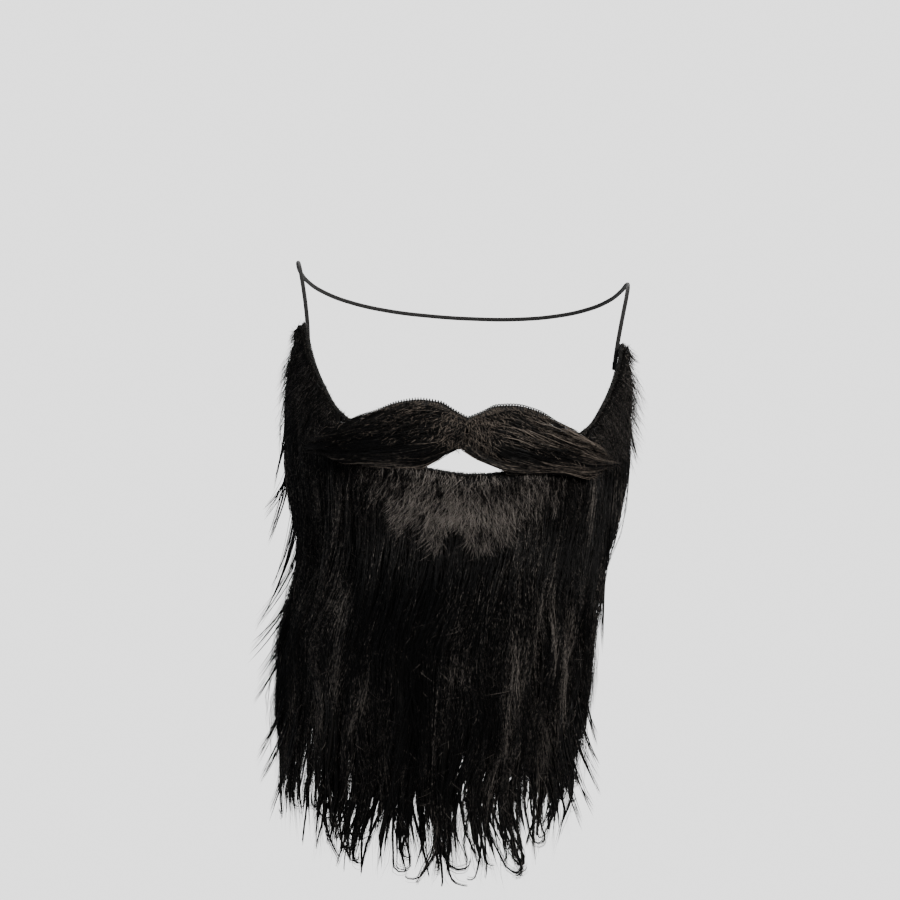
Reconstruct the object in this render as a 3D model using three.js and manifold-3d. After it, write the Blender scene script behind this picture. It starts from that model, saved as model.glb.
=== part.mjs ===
// A costume beard as it is worn: a knit backing that wraps the lower face from sideburn to sideburn,
// a second strip of backing over the upper lip, long pile hanging from both, and a round elastic
// that runs over the ears and behind the head.
//
// Millimetres, +Z up. The wearer looks along -Y, and +X is the wearer's left. The origin is the
// middle of the upper lip, on the skin side of the moustache strip.

import * as THREE from 'three';
import { mergeVertices } from 'three/addons/utils/BufferGeometryUtils.js';
import Module from 'manifold-3d';

const wasm = await Module();
wasm.setup();

// The wearer's lower face
const EAR_HALF_SPAN = 74; // from the middle to the skin in front of each ear
const JAW_DEPTH = 98; // from the upper lip back to the front of the ear
const SIDEBURN_RISE = 46; // top of the sideburn above the upper lip
const CHIN_DROP = 62; // lower edge of the backing below the upper lip, at the chin
const JAW_SQUARENESS = 2.3; // exponent of the jaw's plan: 2 is an ellipse, more is squarer

// The cloth
const BACKING_WALL = 1.5; // knit backing with the stitched pile roots
const GAP = 0.3; // between pieces that touch

// The openings and the moustache strip
const MOUTH_DROP = 19.5; // lower lip edge of the mouth opening below the origin
const MOUTH_CORNER_RISE = 3; // how much higher its corners lie
const HUMP_RISE = 12.3; // tops of the moustache strip's two humps
const NOTCH_RISE = 5.4; // the dip between them, under the nose
const CORNER_RISE = 1.3; // where the strip meets the cheek edge
const STRIP_ARCH_DROP = 8.5; // middle of the strip's lower edge
const STRIP_LOW_DROP = 14; // lowest stretch of that edge
const LAP_ANGLES = [0.1, 0.16]; // between these the strip climbs over the edge of the backing

// The pile
const PILE_RIM = 2.4; // thickness of the pile at its cut edges
const RIM_GROWTH = 20; // distance below the edge over which it reaches its full depth
const SIDE_PILE = 8; // pile over the sideburns and jaw
const CHIN_PILE = 26; // how far the pile stands in front of the upper lip at its fullest
const BEARD_DROP = 200; // longest tip below the origin
const LOCK_HEIGHT = 2.6; // how far a lock stands out of the pile
const LOCK_WIDTH = 11; // width of a lock near its root
const LOCK_SIDES = 5;
const LOCK_STEPS = 6;
const SWAY = 9; // the tips hang this far towards the wearer's right
const TIP_LEAN = 15; // the lowest tips at the sides spread this far
const LEAN_FROM = 70; // tips this far below the origin start to lean
const FALL_BLEND = 50; // distance below the backing over which the pile comes away from the neck

// The moustache hair
const WING_DEPTH = 6.5; // thickness of each wing of the moustache
const WING_HALF_HEIGHT = 12.2; // half its height at its fullest
const WING_LOCK_WIDTH = 6.8; // locks along its outer surface
const WING_LOCK_HEIGHT = 1.9;
const WING_LIFT = 5; // how far a wing's end rides out over the beard

// The elastic
const ELASTIC_DIAMETER = 2;
const ELASTIC_SIDES = 8;
const ELASTIC_STEPS = 64;
// Half of its route, from the sewn end inside the left sideburn over the ear to the back of the head
const ELASTIC_ROUTE = [
  [71.3, 83.6, 34],
  [71.6, 84.0, 40],
  [72.2, 85.0, 46],
  [73.2, 87.5, 53],
  [74.6, 92.0, 61],
  [76.2, 98.5, 69],
  [77.4, 107.5, 74.5],
  [77.8, 119.0, 76],
  [76.6, 134.0, 73.5],
  [72.4, 150.0, 69.5],
  [64.0, 165.0, 65.5],
  [50.5, 178.0, 62],
  [31.5, 187.5, 59.5],
  [10.5, 191.5, 58.5],
];

// Angle round the jaw: 0 at the chin, 1 at the left ear and -1 at the right ear. Height is in
// millimetres, and the other columns are shares of the named size in the comment.
const FACE_LEVELS = [
  { height: -CHIN_DROP, halfWidth: 0.82, front: 0.08 }, // of EAR_HALF_SPAN, of JAW_DEPTH
  { height: -0.7 * CHIN_DROP, halfWidth: 0.885, front: 0.0 },
  { height: -0.36 * CHIN_DROP, halfWidth: 0.94, front: 0.02 },
  { height: 0, halfWidth: 0.97, front: 0 },
  { height: 0.5 * SIDEBURN_RISE, halfWidth: 0.99, front: 0.01 },
  { height: SIDEBURN_RISE, halfWidth: 1, front: 0.02 },
];

// Upper and lower edge of the backing, by angle
const BACKING_EDGES = [
  { angle: 0, top: -MOUTH_DROP, bottom: -CHIN_DROP },
  { angle: 0.08, top: -MOUTH_DROP + 0.3 * MOUTH_CORNER_RISE, bottom: -0.995 * CHIN_DROP },
  { angle: 0.161, top: -MOUTH_DROP + MOUTH_CORNER_RISE, bottom: -0.98 * CHIN_DROP },
  { angle: 0.3, top: -0.5 * MOUTH_DROP, bottom: -0.93 * CHIN_DROP },
  { angle: 0.465, top: CORNER_RISE, bottom: -0.85 * CHIN_DROP },
  { angle: 0.552, top: 0.15 * SIDEBURN_RISE, bottom: -0.8 * CHIN_DROP },
  { angle: 0.64, top: 0.36 * SIDEBURN_RISE, bottom: -0.73 * CHIN_DROP },
  { angle: 0.72, top: 0.56 * SIDEBURN_RISE, bottom: -0.65 * CHIN_DROP },
  { angle: 0.8, top: 0.79 * SIDEBURN_RISE, bottom: -0.55 * CHIN_DROP },
  { angle: 0.88, top: SIDEBURN_RISE, bottom: -0.4 * CHIN_DROP },
  { angle: 0.94, top: 0.93 * SIDEBURN_RISE, bottom: -0.22 * CHIN_DROP },
  { angle: 1, top: 0.62 * SIDEBURN_RISE, bottom: 0.05 * SIDEBURN_RISE },
];

// Upper and lower edge of the moustache strip, by angle
const STRIP_EDGES = [
  { angle: 0, top: NOTCH_RISE, bottom: -STRIP_ARCH_DROP },
  { angle: 0.041, top: 0.69 * HUMP_RISE, bottom: -1.12 * STRIP_ARCH_DROP },
  { angle: 0.085, top: 0.94 * HUMP_RISE, bottom: -0.82 * STRIP_LOW_DROP },
  { angle: 0.148, top: HUMP_RISE, bottom: -0.96 * STRIP_LOW_DROP },
  { angle: 0.236, top: 0.85 * HUMP_RISE, bottom: -STRIP_LOW_DROP },
  { angle: 0.33, top: 0.48 * HUMP_RISE, bottom: -0.93 * STRIP_LOW_DROP },
  { angle: 0.413, top: 0.24 * HUMP_RISE, bottom: -0.78 * STRIP_LOW_DROP },
  { angle: 0.49, top: -0.8 * CORNER_RISE, bottom: -0.6 * STRIP_LOW_DROP },
];
const STRIP_END = STRIP_EDGES[STRIP_EDGES.length - 1].angle;

// Outer surface of the pile by height. Half width and depth are shares of the jaw's, front is a
// share of CHIN_PILE forward of the upper lip, and sway is a share of SWAY.
const PILE_LEVELS = [
  { height: -BEARD_DROP, halfWidth: 0.72, depth: 0.3, front: 0.42, sway: 1.25 },
  { height: -0.8 * BEARD_DROP, halfWidth: 0.86, depth: 0.44, front: 0.68, sway: 0.95 },
  { height: -0.65 * BEARD_DROP, halfWidth: 0.935, depth: 0.56, front: 0.84, sway: 0.75 },
  { height: -0.5 * BEARD_DROP, halfWidth: 0.95, depth: 0.72, front: 0.96, sway: 0.6 },
  { height: -0.375 * BEARD_DROP, halfWidth: 0.945, depth: 0.88, front: 1.0, sway: 0.35 },
  { height: -0.97 * CHIN_DROP, halfWidth: 0.955, depth: 1.02, front: 0.95, sway: 0.15 },
  { height: -0.7 * CHIN_DROP, halfWidth: 0.99, depth: 1.07, front: 0.75, sway: 0 },
  { height: -0.36 * CHIN_DROP, halfWidth: 1.05, depth: 1.06, front: 0.4, sway: 0 },
  { height: 0, halfWidth: 1.08, depth: 1.04, front: 0.25, sway: 0 },
  { height: 0.5 * SIDEBURN_RISE, halfWidth: 1.1, depth: 1.04, front: 0.2, sway: 0 },
  { height: SIDEBURN_RISE, halfWidth: 1.1, depth: 1.04, front: 0.2, sway: 0 },
];

// Where the hanging pile ends before its locks run out into tips, and where those tips end, as
// shares of BEARD_DROP, with the thickness of the hanging pile as a share of CHIN_PILE and the
// sideways lean of the tips as a share of TIP_LEAN. Angles below 0 are the wearer's right.
const FALL_ENDS = [
  { angle: -1, body: 0.38, tip: 0.6, thickness: 0.34, lean: -0.8 },
  { angle: -0.85, body: 0.58, tip: 0.78, thickness: 0.38, lean: -0.95 },
  { angle: -0.7, body: 0.69, tip: 0.88, thickness: 0.44, lean: -0.87 },
  { angle: -0.5, body: 0.73, tip: 0.93, thickness: 0.5, lean: -0.6 },
  { angle: -0.25, body: 0.75, tip: 0.96, thickness: 0.57, lean: -0.2 },
  { angle: 0, body: 0.76, tip: 1, thickness: 0.6, lean: 0 },
  { angle: 0.15, body: 0.76, tip: 1, thickness: 0.59, lean: 0.13 },
  { angle: 0.3, body: 0.75, tip: 0.965, thickness: 0.56, lean: 0.33 },
  { angle: 0.5, body: 0.71, tip: 0.885, thickness: 0.5, lean: 0.73 },
  { angle: 0.7, body: 0.65, tip: 0.81, thickness: 0.44, lean: 1 },
  { angle: 0.85, body: 0.55, tip: 0.7, thickness: 0.38, lean: 0.93 },
  { angle: 1, body: 0.36, tip: 0.51, thickness: 0.34, lean: 0.6 },
];

// One wing of the moustache from the parting to its tip: angle of its middle line, height of that
// line as a share of STRIP_LOW_DROP, and half height, thickness and lift as shares of
// WING_HALF_HEIGHT, WING_DEPTH and WING_LIFT
const WING_SECTIONS = [
  { along: 0, angle: 0.0015, middle: -0.11, halfHeight: 0.46, thickness: 0.5, lift: 0 },
  { along: 0.12, angle: 0.05, middle: -0.09, halfHeight: 0.7, thickness: 0.8, lift: 0 },
  { along: 0.3, angle: 0.14, middle: -0.11, halfHeight: 1, thickness: 1, lift: 0 },
  { along: 0.5, angle: 0.245, middle: -0.32, halfHeight: 1.04, thickness: 1, lift: 0.1 },
  { along: 0.68, angle: 0.35, middle: -0.46, halfHeight: 0.95, thickness: 0.95, lift: 0.4 },
  { along: 0.85, angle: 0.455, middle: -0.6, halfHeight: 0.8, thickness: 0.85, lift: 0.75 },
  { along: 1, angle: 0.56, middle: -0.66, halfHeight: 0.42, thickness: 0.5, lift: 1 },
];
const WING_LANES = [-0.66, -0.22, 0.22, 0.66]; // its locks, as shares of its half height

const FINEST_DETAIL = 0.05; // edges shorter than this are left out
const PILE_REACH = 0.985; // angle at which the pile ends, just short of the cloth's rear edge

// Value of a column between the rows of a table, on a smooth curve through them
function tableAt(rows, key, column, at) {
  const last = rows.length - 1;
  if (at <= rows[0][key]) return rows[0][column];
  if (at >= rows[last][key]) return rows[last][column];
  let i = 0;
  while (at > rows[i + 1][key]) i += 1;
  const slope = (a, b) => (rows[b][column] - rows[a][column]) / (rows[b][key] - rows[a][key]);
  const here = slope(i, i + 1);
  const before = i > 0 ? slope(i - 1, i) : here;
  const after = i < last - 1 ? slope(i + 1, i + 2) : here;
  const meet = (a, b) => (a * b > 0 ? (2 * a * b) / (a + b) : 0);
  const start = i > 0 ? meet(before, here) : here;
  const end = i < last - 1 ? meet(here, after) : here;
  const span = rows[i + 1][key] - rows[i][key];
  const t = (at - rows[i][key]) / span;
  const [t2, t3] = [t * t, t * t * t];
  return (2 * t3 - 3 * t2 + 1) * rows[i][column] + (t3 - 2 * t2 + t) * span * start
    + (3 * t2 - 2 * t3) * rows[i + 1][column] + (t3 - t2) * span * end;
}

const smoothstep = THREE.MathUtils.smoothstep;
const lerp = THREE.MathUtils.lerp;

// A repeatable number from 0 to 1 for each index
function scatter(index, salt) {
  const wave = Math.sin(index * 127.1 + salt * 311.7) * 43758.5453;
  return wave - Math.floor(wave);
}

// A point on a jaw-shaped plan curve
function planPoint(angle, halfWidth, depth, front) {
  const turn = (angle * Math.PI) / 2;
  const power = 2 / JAW_SQUARENESS;
  const side = Math.sign(turn) * Math.abs(Math.sin(turn)) ** power;
  const back = 1 - Math.max(Math.cos(turn), 0) ** power;
  return new THREE.Vector2(halfWidth * side, front + depth * back);
}

// The wearer's skin
function skin(angle, height) {
  const level = (column) => tableAt(FACE_LEVELS, 'height', column, height);
  const plan = planPoint(
    angle, level('halfWidth') * EAR_HALF_SPAN, JAW_DEPTH, level('front') * JAW_DEPTH);
  return new THREE.Vector3(plan.x, plan.y, height);
}

// Unit vector out of the skin, level with the floor
function outward(angle, height) {
  const step = 0.004;
  const inside = Math.max(-1 + step, Math.min(1 - step, angle));
  const along = skin(inside + step, height).sub(skin(inside - step, height));
  return new THREE.Vector3(along.y, -along.x, 0).normalize();
}

// A point some way out from the skin
function offSkin(angle, height, distance) {
  return skin(angle, height).addScaledVector(outward(angle, height), distance);
}

const backingEdge = (angle, column) => tableAt(BACKING_EDGES, 'angle', column, Math.abs(angle));
const stripEdge = (angle, column) => tableAt(STRIP_EDGES, 'angle', column, Math.abs(angle));
const fallEnd = (angle, column) => tableAt(FALL_ENDS, 'angle', column, angle);

// Upper edge of the beard's pile: along the backing, but below the moustache strip where that laps it
function pileTop(angle) {
  const edge = backingEdge(angle, 'top') - GAP;
  const away = Math.abs(angle);
  if (away > STRIP_END + 0.02) return edge;
  return Math.min(edge, stripEdge(angle, 'bottom') - 2 * GAP);
}

// Full outer surface of the pile, before the rim is thinned
function pileShell(angle, height) {
  const level = (column) => tableAt(PILE_LEVELS, 'height', column, height);
  const plan = planPoint(
    angle,
    level('halfWidth') * (EAR_HALF_SPAN - SIDE_PILE) + SIDE_PILE,
    level('depth') * JAW_DEPTH,
    -level('front') * CHIN_PILE);
  return new THREE.Vector3(plan.x - level('sway') * SWAY, plan.y, height);
}

// Inner surface of the pile before it is cut back: inside the backing's wall, and below its edge
// drawn towards the outer surface
function pileInner(angle, height) {
  const edge = backingEdge(angle, 'bottom');
  const onBacking = offSkin(angle, Math.max(height, edge), BACKING_WALL / 2);
  onBacking.z = height;
  if (height >= edge) return onBacking;
  const shell = pileShell(angle, height);
  const hanging = shell.clone().addScaledVector(
    outward(angle, edge), -fallEnd(angle, 'thickness') * CHIN_PILE);
  return onBacking.lerp(hanging, smoothstep(edge - height, 0, FALL_BLEND));
}

// A point in the pile: depth 0 is its inner surface and 1 its outer one
function inPile(angle, height, depth) {
  const inner = pileInner(angle, height);
  const shell = pileShell(angle, height);
  const rim = offSkin(angle, height, BACKING_WALL + GAP + PILE_RIM);
  const outer = rim.lerp(shell, smoothstep(pileTop(angle) - height, 0, RIM_GROWTH));
  return inner.lerp(outer, depth);
}

// Moves each point of a closed geometry, and merges the points that its faces share
function warp(geometry, place) {
  const at = geometry.attributes.position;
  for (let i = 0; i < at.count; i += 1) {
    const moved = place(at.getX(i), at.getY(i), at.getZ(i));
    at.setXYZ(i, moved.x, moved.y, moved.z);
  }
  geometry.deleteAttribute('normal');
  geometry.deleteAttribute('uv');
  return mergeVertices(geometry, 1e-4);
}

// A wall between two edges: x of the box runs round the jaw, y from the outside in, z upwards
function wall(columns, rows, place) {
  const box = new THREE.BoxGeometry(2, 1, 1, columns, 1, rows);
  return warp(box, (x, y, z) => place(x, 0.5 - y, z + 0.5));
}

function solid(geometry) {
  return new wasm.Manifold(new wasm.Mesh({
    numProp: 3,
    vertProperties: new Float32Array(geometry.attributes.position.array),
    triVerts: new Uint32Array(geometry.index.array),
  }));
}

// The geometry of a solid's largest shell, without the sealed pockets and slivers that joins leave
function geometryOf(manifold) {
  const shells = manifold.simplify(FINEST_DETAIL).decompose();
  const mesh = shells.reduce((a, b) => (a.volume() > b.volume() ? a : b)).getMesh();
  const geometry = new THREE.BufferGeometry();
  geometry.setAttribute('position', new THREE.BufferAttribute(new Float32Array(mesh.vertProperties), 3));
  geometry.setIndex(new THREE.BufferAttribute(new Uint32Array(mesh.triVerts), 1));
  geometry.computeVertexNormals();
  return geometry;
}

// A lock of hair: a flattened cone whose middle line, axes and half sizes follow line(along)
function lock(sides, steps, line) {
  const cone = new THREE.ConeGeometry(1, 1, sides, steps, false);
  return solid(warp(cone, (x, y, z) => {
    const along = y + 0.5;
    const ring = Math.max(1 - along, 1e-6);
    const { centre, across, out, halfWidth, halfDepth } = line(along);
    return centre.clone()
      .addScaledVector(across, (x / ring) * halfWidth)
      .addScaledVector(out, (z / ring) * halfDepth);
  }));
}

// Full near the root, and running out to a point
const lockTaper = (along) => Math.min(1, 0.55 + 2.5 * along) * (1 - along ** 3);

// Beard backing: thin knit wall from sideburn to sideburn. Grown by the gap, and deepened towards
// the skin, it is what the pile is cut back from
function beardBacking(grow = 0, deepen = 0) {
  return wall(38, 5, (angle, depth, share) => {
    const bottom = backingEdge(angle, 'bottom') - grow;
    const top = backingEdge(angle, 'top') + grow;
    const distance = lerp(-deepen, BACKING_WALL + grow, depth);
    return offSkin(angle, lerp(bottom, top, share), distance);
  });
}

// Moustache strip: on the skin over the lip, and lapped over the beard backing at its ends
function moustacheBacking(grow = 0, deepen = 0) {
  return wall(32, 2, (across, depth, share) => {
    const angle = across * (STRIP_END + grow / EAR_HALF_SPAN);
    const bottom = stripEdge(angle, 'bottom') - grow;
    const top = stripEdge(angle, 'top') + grow;
    const lap = smoothstep(Math.abs(angle), ...LAP_ANGLES) * (BACKING_WALL + GAP);
    const distance = lap + lerp(-deepen, BACKING_WALL + grow, depth);
    return offSkin(angle, lerp(bottom, top, share), distance);
  });
}

// The pile without its locks
function pileBody() {
  return solid(wall(36, 11, (across, depth, share) => {
    const angle = across * PILE_REACH;
    const top = pileTop(angle);
    const height = lerp(-fallEnd(angle, 'body') * BEARD_DROP, top, share);
    return inPile(angle, height, depth);
  }));
}

// A lock of the beard, from its root down to its tip. Depth places it between the pile's surfaces
function beardLock(index, angle, root, tip, depth, width) {
  const drift = (scatter(index, 1) - 0.5) * 0.1;
  const wave = scatter(index, 2) * Math.PI * 2;
  const lean = fallEnd(angle, 'lean') * TIP_LEAN * smoothstep(-tip, LEAN_FROM, 0.9 * BEARD_DROP);
  return lock(LOCK_SIDES, LOCK_STEPS, (along) => {
    const height = lerp(root, tip, along);
    const here = angle + drift * along ** 2 + 0.012 * Math.sin(wave + along * 7) * along;
    const sink = smoothstep(along, 0, 0.12) - 1;
    const out = outward(angle, root);
    const centre = inPile(here, height, depth).addScaledVector(out, sink * LOCK_HEIGHT);
    const across = new THREE.Vector3(out.y, -out.x, 0);
    centre.addScaledVector(across, -lean * along ** 3);
    const taper = lockTaper(along);
    return { centre, across, out, halfWidth: (width / 2) * taper, halfDepth: LOCK_HEIGHT * taper };
  });
}

// Rows of locks: how many round the jaw, how far round they reach, where they start as a share of
// the way from the pile's edge to the tips, their length as a share of the full one, and depth
const LOCK_ROWS = [
  { count: 21, reach: 0.95, start: 0.3, end: 1, depth: 0.62, width: 1.25 },
  { count: 16, reach: 0.9, start: 0.14, end: 0.95, depth: 0.95, width: 1.15 },
  { count: 15, reach: 0.97, start: 0.04, end: 0.55, depth: 0.93, width: 0.95 },
];

function beardLocks() {
  const locks = [];
  LOCK_ROWS.forEach((row, layer) => {
    for (let i = 0; i < row.count; i += 1) {
      const index = i + 100 * layer;
      const jitter = (scatter(index, 3) - 0.5) * 0.4;
      const angle = ((2 * (i + 0.5 + jitter)) / row.count - 1) * row.reach;
      const top = pileTop(angle);
      const full = -fallEnd(angle, 'tip') * BEARD_DROP;
      const root = lerp(top, full, row.start);
      const tip = lerp(top, full, row.end * (1 - 0.16 * scatter(index, 4)));
      locks.push(beardLock(index, angle, root, tip, row.depth, row.width * LOCK_WIDTH));
    }
  });
  return locks;
}

// One wing of the moustache, grown by some distance all round. Side is 1 for the wearer's left
function moustacheWing(side, grow) {
  const section = (along, column) => tableAt(WING_SECTIONS, 'along', column, along);
  const clear = 2 * (BACKING_WALL + GAP);
  const at = (along, across, depth) => {
    const half = section(along, 'halfHeight') * WING_HALF_HEIGHT + grow;
    const height = section(along, 'middle') * STRIP_LOW_DROP + across * half;
    const angle = side * (section(along, 'angle') + (grow / EAR_HALF_SPAN) * (2 * along - 1));
    const crown = 1 - Math.abs(across) ** 3;
    const floor = clear + section(along, 'lift') * WING_LIFT - grow;
    const thickness = section(along, 'thickness') * WING_DEPTH * (0.2 + 0.8 * crown) + 2 * grow;
    return offSkin(angle, height, floor + depth * thickness);
  };
  const body = solid(wall(14, 6, (x, depth, share) => at((side * x + 1) / 2, 2 * share - 1, depth)));
  const locks = WING_LANES.map((lane, i) => lock(LOCK_SIDES, LOCK_STEPS, (along) => {
    const here = lerp(0.12, 1.0 + 0.05 * scatter(i, 6), along);
    const fan = lane * (1 - 0.3 * along);
    const centre = at(here, fan, 0.8);
    const ahead = at(here + 0.03, fan, 0.8).sub(at(here - 0.03, fan, 0.8)).normalize();
    const out = outward(side * section(here, 'angle'), 0);
    const across = new THREE.Vector3().crossVectors(out, ahead).normalize();
    const taper = lockTaper(along);
    return {
      centre,
      across: across.negate(),
      out,
      halfWidth: (WING_LOCK_WIDTH / 2) * taper,
      halfDepth: (WING_LOCK_HEIGHT + grow) * taper,
    };
  }));
  return wasm.Manifold.union([body, ...locks]);
}

// The pile with its locks, kept clear of the cloth behind it and of the moustache over it
function beardHair() {
  const pile = wasm.Manifold.union([pileBody(), ...beardLocks()]);
  const cutters = [
    solid(beardBacking(GAP, BACKING_WALL)),
    solid(moustacheBacking(GAP, GAP)),
    moustacheWing(1, GAP),
    moustacheWing(-1, GAP),
  ];
  return cutters.reduce((left, cutter) => left.subtract(cutter), pile);
}

// The elastic, one curve from the sewn end inside one sideburn to the other
function elasticCord() {
  const half = ELASTIC_ROUTE.map(([x, y, z]) => new THREE.Vector3(x, y, z));
  const mirrored = half.map((p) => new THREE.Vector3(-p.x, p.y, p.z)).reverse();
  const path = new THREE.CatmullRomCurve3([...half, ...mirrored], false, 'centripetal');
  const section = new THREE.Shape();
  for (let i = 0; i < ELASTIC_SIDES; i += 1) {
    const turn = (2 * Math.PI * i) / ELASTIC_SIDES;
    const [x, y] = [Math.cos(turn), Math.sin(turn)].map((v) => (v * ELASTIC_DIAMETER) / 2);
    if (i === 0) section.moveTo(x, y);
    else section.lineTo(x, y);
  }
  section.closePath();
  return new THREE.ExtrudeGeometry(section, { steps: ELASTIC_STEPS, extrudePath: path, bevelEnabled: false });
}

const knit = new THREE.MeshStandardMaterial({ color: 0x141312, roughness: 0.95, metalness: 0 });
const hair = new THREE.MeshStandardMaterial({ color: 0x0d0c0b, roughness: 0.45, metalness: 0 });
const moustacheHair = new THREE.MeshStandardMaterial({ color: 0x161412, roughness: 0.45, metalness: 0 });
const elastic = new THREE.MeshStandardMaterial({ color: 0x101010, roughness: 0.8, metalness: 0 });

function part(name, geometry, material) {
  const mesh = new THREE.Mesh(geometry, material);
  mesh.name = name;
  return mesh;
}

const beard = new THREE.Group();
beard.add(part('beard_backing', beardBacking(), knit));
beard.add(part('moustache_backing', moustacheBacking(), knit));
beard.add(part('beard_hair', geometryOf(beardHair()), hair));
beard.add(part('moustache_hair_left', geometryOf(moustacheWing(1, 0)), moustacheHair));
beard.add(part('moustache_hair_right', geometryOf(moustacheWing(-1, 0)), moustacheHair));
beard.add(part('elastic_cord', elasticCord(), elastic));

export default beard;
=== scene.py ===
"""A costume beard as it is worn: knit cloth round the lower face, long black synthetic pile, a
combed moustache and a round elastic behind the head."""

import math

import bpy
import numpy as np
from mathutils import Matrix, Vector


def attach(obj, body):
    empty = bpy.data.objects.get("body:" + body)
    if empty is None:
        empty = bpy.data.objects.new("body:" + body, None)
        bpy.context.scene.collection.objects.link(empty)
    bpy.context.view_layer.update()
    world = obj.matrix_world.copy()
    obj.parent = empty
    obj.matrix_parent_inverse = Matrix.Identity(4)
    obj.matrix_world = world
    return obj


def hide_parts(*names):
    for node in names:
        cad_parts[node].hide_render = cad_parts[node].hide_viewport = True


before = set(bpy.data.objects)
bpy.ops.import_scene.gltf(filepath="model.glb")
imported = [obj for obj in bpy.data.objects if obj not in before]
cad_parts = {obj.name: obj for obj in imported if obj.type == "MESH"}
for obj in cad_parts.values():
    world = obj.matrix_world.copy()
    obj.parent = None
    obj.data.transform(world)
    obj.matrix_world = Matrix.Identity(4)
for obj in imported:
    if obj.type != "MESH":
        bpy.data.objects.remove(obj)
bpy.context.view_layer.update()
BODY = "root"
MM = 0.001  # every size below is in millimetres, and every mesh in metres

# The wearer's lower face and the cloth, as the solids have them
EAR_HALF_SPAN = 74
JAW_DEPTH = 98
SIDEBURN_RISE = 46
CHIN_DROP = 62
JAW_SQUARENESS = 2.3
BACKING_WALL = 1.5
GAP = 0.3
MOUTH_DROP = 19.5
MOUTH_CORNER_RISE = 3
HUMP_RISE = 12.3
NOTCH_RISE = 5.4
CORNER_RISE = 1.3
STRIP_ARCH_DROP = 8.5
STRIP_LOW_DROP = 14
STRIP_END = 0.49
LAP_ANGLES = (0.1, 0.16)

# The pile and the moustache, as the solids have them
PILE_RIM = 2.4
RIM_GROWTH = 20
SIDE_PILE = 8
CHIN_PILE = 26
BEARD_DROP = 200
SWAY = 9
TIP_LEAN = 15
LEAN_FROM = 70
FALL_BLEND = 50
WING_DEPTH = 6.5
WING_HALF_HEIGHT = 12.2
WING_LIFT = 5

# The elastic: half of its route, in metres, from inside the left sideburn to the back of the head
ELASTIC_DIAMETER = 0.002
ELASTIC_ROUTE = [
    (0.0713, 0.0836, 0.034),
    (0.0716, 0.0840, 0.040),
    (0.0722, 0.0850, 0.046),
    (0.0732, 0.0875, 0.053),
    (0.0746, 0.0920, 0.061),
    (0.0762, 0.0985, 0.069),
    (0.0774, 0.1075, 0.0745),
    (0.0778, 0.1190, 0.076),
    (0.0766, 0.1340, 0.0735),
    (0.0724, 0.1500, 0.0695),
    (0.0640, 0.1650, 0.0655),
    (0.0505, 0.1780, 0.062),
    (0.0315, 0.1875, 0.0595),
    (0.0105, 0.1915, 0.0585),
]

# The photograph: scale, the pixel of the origin, and the angle it was taken from
PICTURE_PIXELS = 900
PIXEL_SIZE = 0.000445
ORIGIN_PIXEL = (467, 430)
VIEW_AZIMUTH = math.radians(-3)
VIEW_ELEVATION = math.radians(-1)
VIEW_ROLL = math.radians(3.6)
VIEW_DISTANCE = 2.0
SENSOR_WIDTH = 36


class Table:
    """Rows of numbers under named columns, read along smooth curves through them by the first"""

    def __init__(self, names, *rows):
        self.columns = dict(zip(names, np.array(rows, float).T))
        self.keys = self.columns[names[0]]

    def __call__(self, name, at):
        keys, values = self.keys, self.columns[name]
        slope = np.diff(values) / np.diff(keys)
        before, after = slope[:-1], slope[1:]
        total = np.where(before + after == 0, 1, before + after)
        meet = np.where(before * after > 0, 2 * before * after / total, 0)
        tangent = np.concatenate([slope[:1], meet, slope[-1:]])
        at = np.clip(at, keys[0], keys[-1])
        i = np.clip(np.searchsorted(keys, at, side="right") - 1, 0, len(keys) - 2)
        span = keys[i + 1] - keys[i]
        t = (at - keys[i]) / span
        start = (2 * t**3 - 3 * t**2 + 1) * values[i] + (t**3 - 2 * t**2 + t) * span * tangent[i]
        end = (3 * t**2 - 2 * t**3) * values[i + 1] + (t**3 - t**2) * span * tangent[i + 1]
        return start + end


# Half width of the face as a share of EAR_HALF_SPAN, and how far back its front is, of JAW_DEPTH
FACE_LEVELS = Table(
    ("height", "half_width", "front"),
    (-CHIN_DROP, 0.82, 0.08),
    (-0.7 * CHIN_DROP, 0.885, 0.0),
    (-0.36 * CHIN_DROP, 0.94, 0.02),
    (0, 0.97, 0),
    (0.5 * SIDEBURN_RISE, 0.99, 0.01),
    (SIDEBURN_RISE, 1, 0.02),
)

# Upper and lower edge of the beard's cloth, by angle round the jaw: 0 at the chin, 1 at the ear
BACKING_EDGES = Table(
    ("angle", "top", "bottom"),
    (0, -MOUTH_DROP, -CHIN_DROP),
    (0.08, -MOUTH_DROP + 0.3 * MOUTH_CORNER_RISE, -0.995 * CHIN_DROP),
    (0.161, -MOUTH_DROP + MOUTH_CORNER_RISE, -0.98 * CHIN_DROP),
    (0.3, -0.5 * MOUTH_DROP, -0.93 * CHIN_DROP),
    (0.465, CORNER_RISE, -0.85 * CHIN_DROP),
    (0.552, 0.15 * SIDEBURN_RISE, -0.8 * CHIN_DROP),
    (0.64, 0.36 * SIDEBURN_RISE, -0.73 * CHIN_DROP),
    (0.72, 0.56 * SIDEBURN_RISE, -0.65 * CHIN_DROP),
    (0.8, 0.79 * SIDEBURN_RISE, -0.55 * CHIN_DROP),
    (0.88, SIDEBURN_RISE, -0.4 * CHIN_DROP),
    (0.94, 0.93 * SIDEBURN_RISE, -0.22 * CHIN_DROP),
    (1, 0.62 * SIDEBURN_RISE, 0.05 * SIDEBURN_RISE),
)

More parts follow.
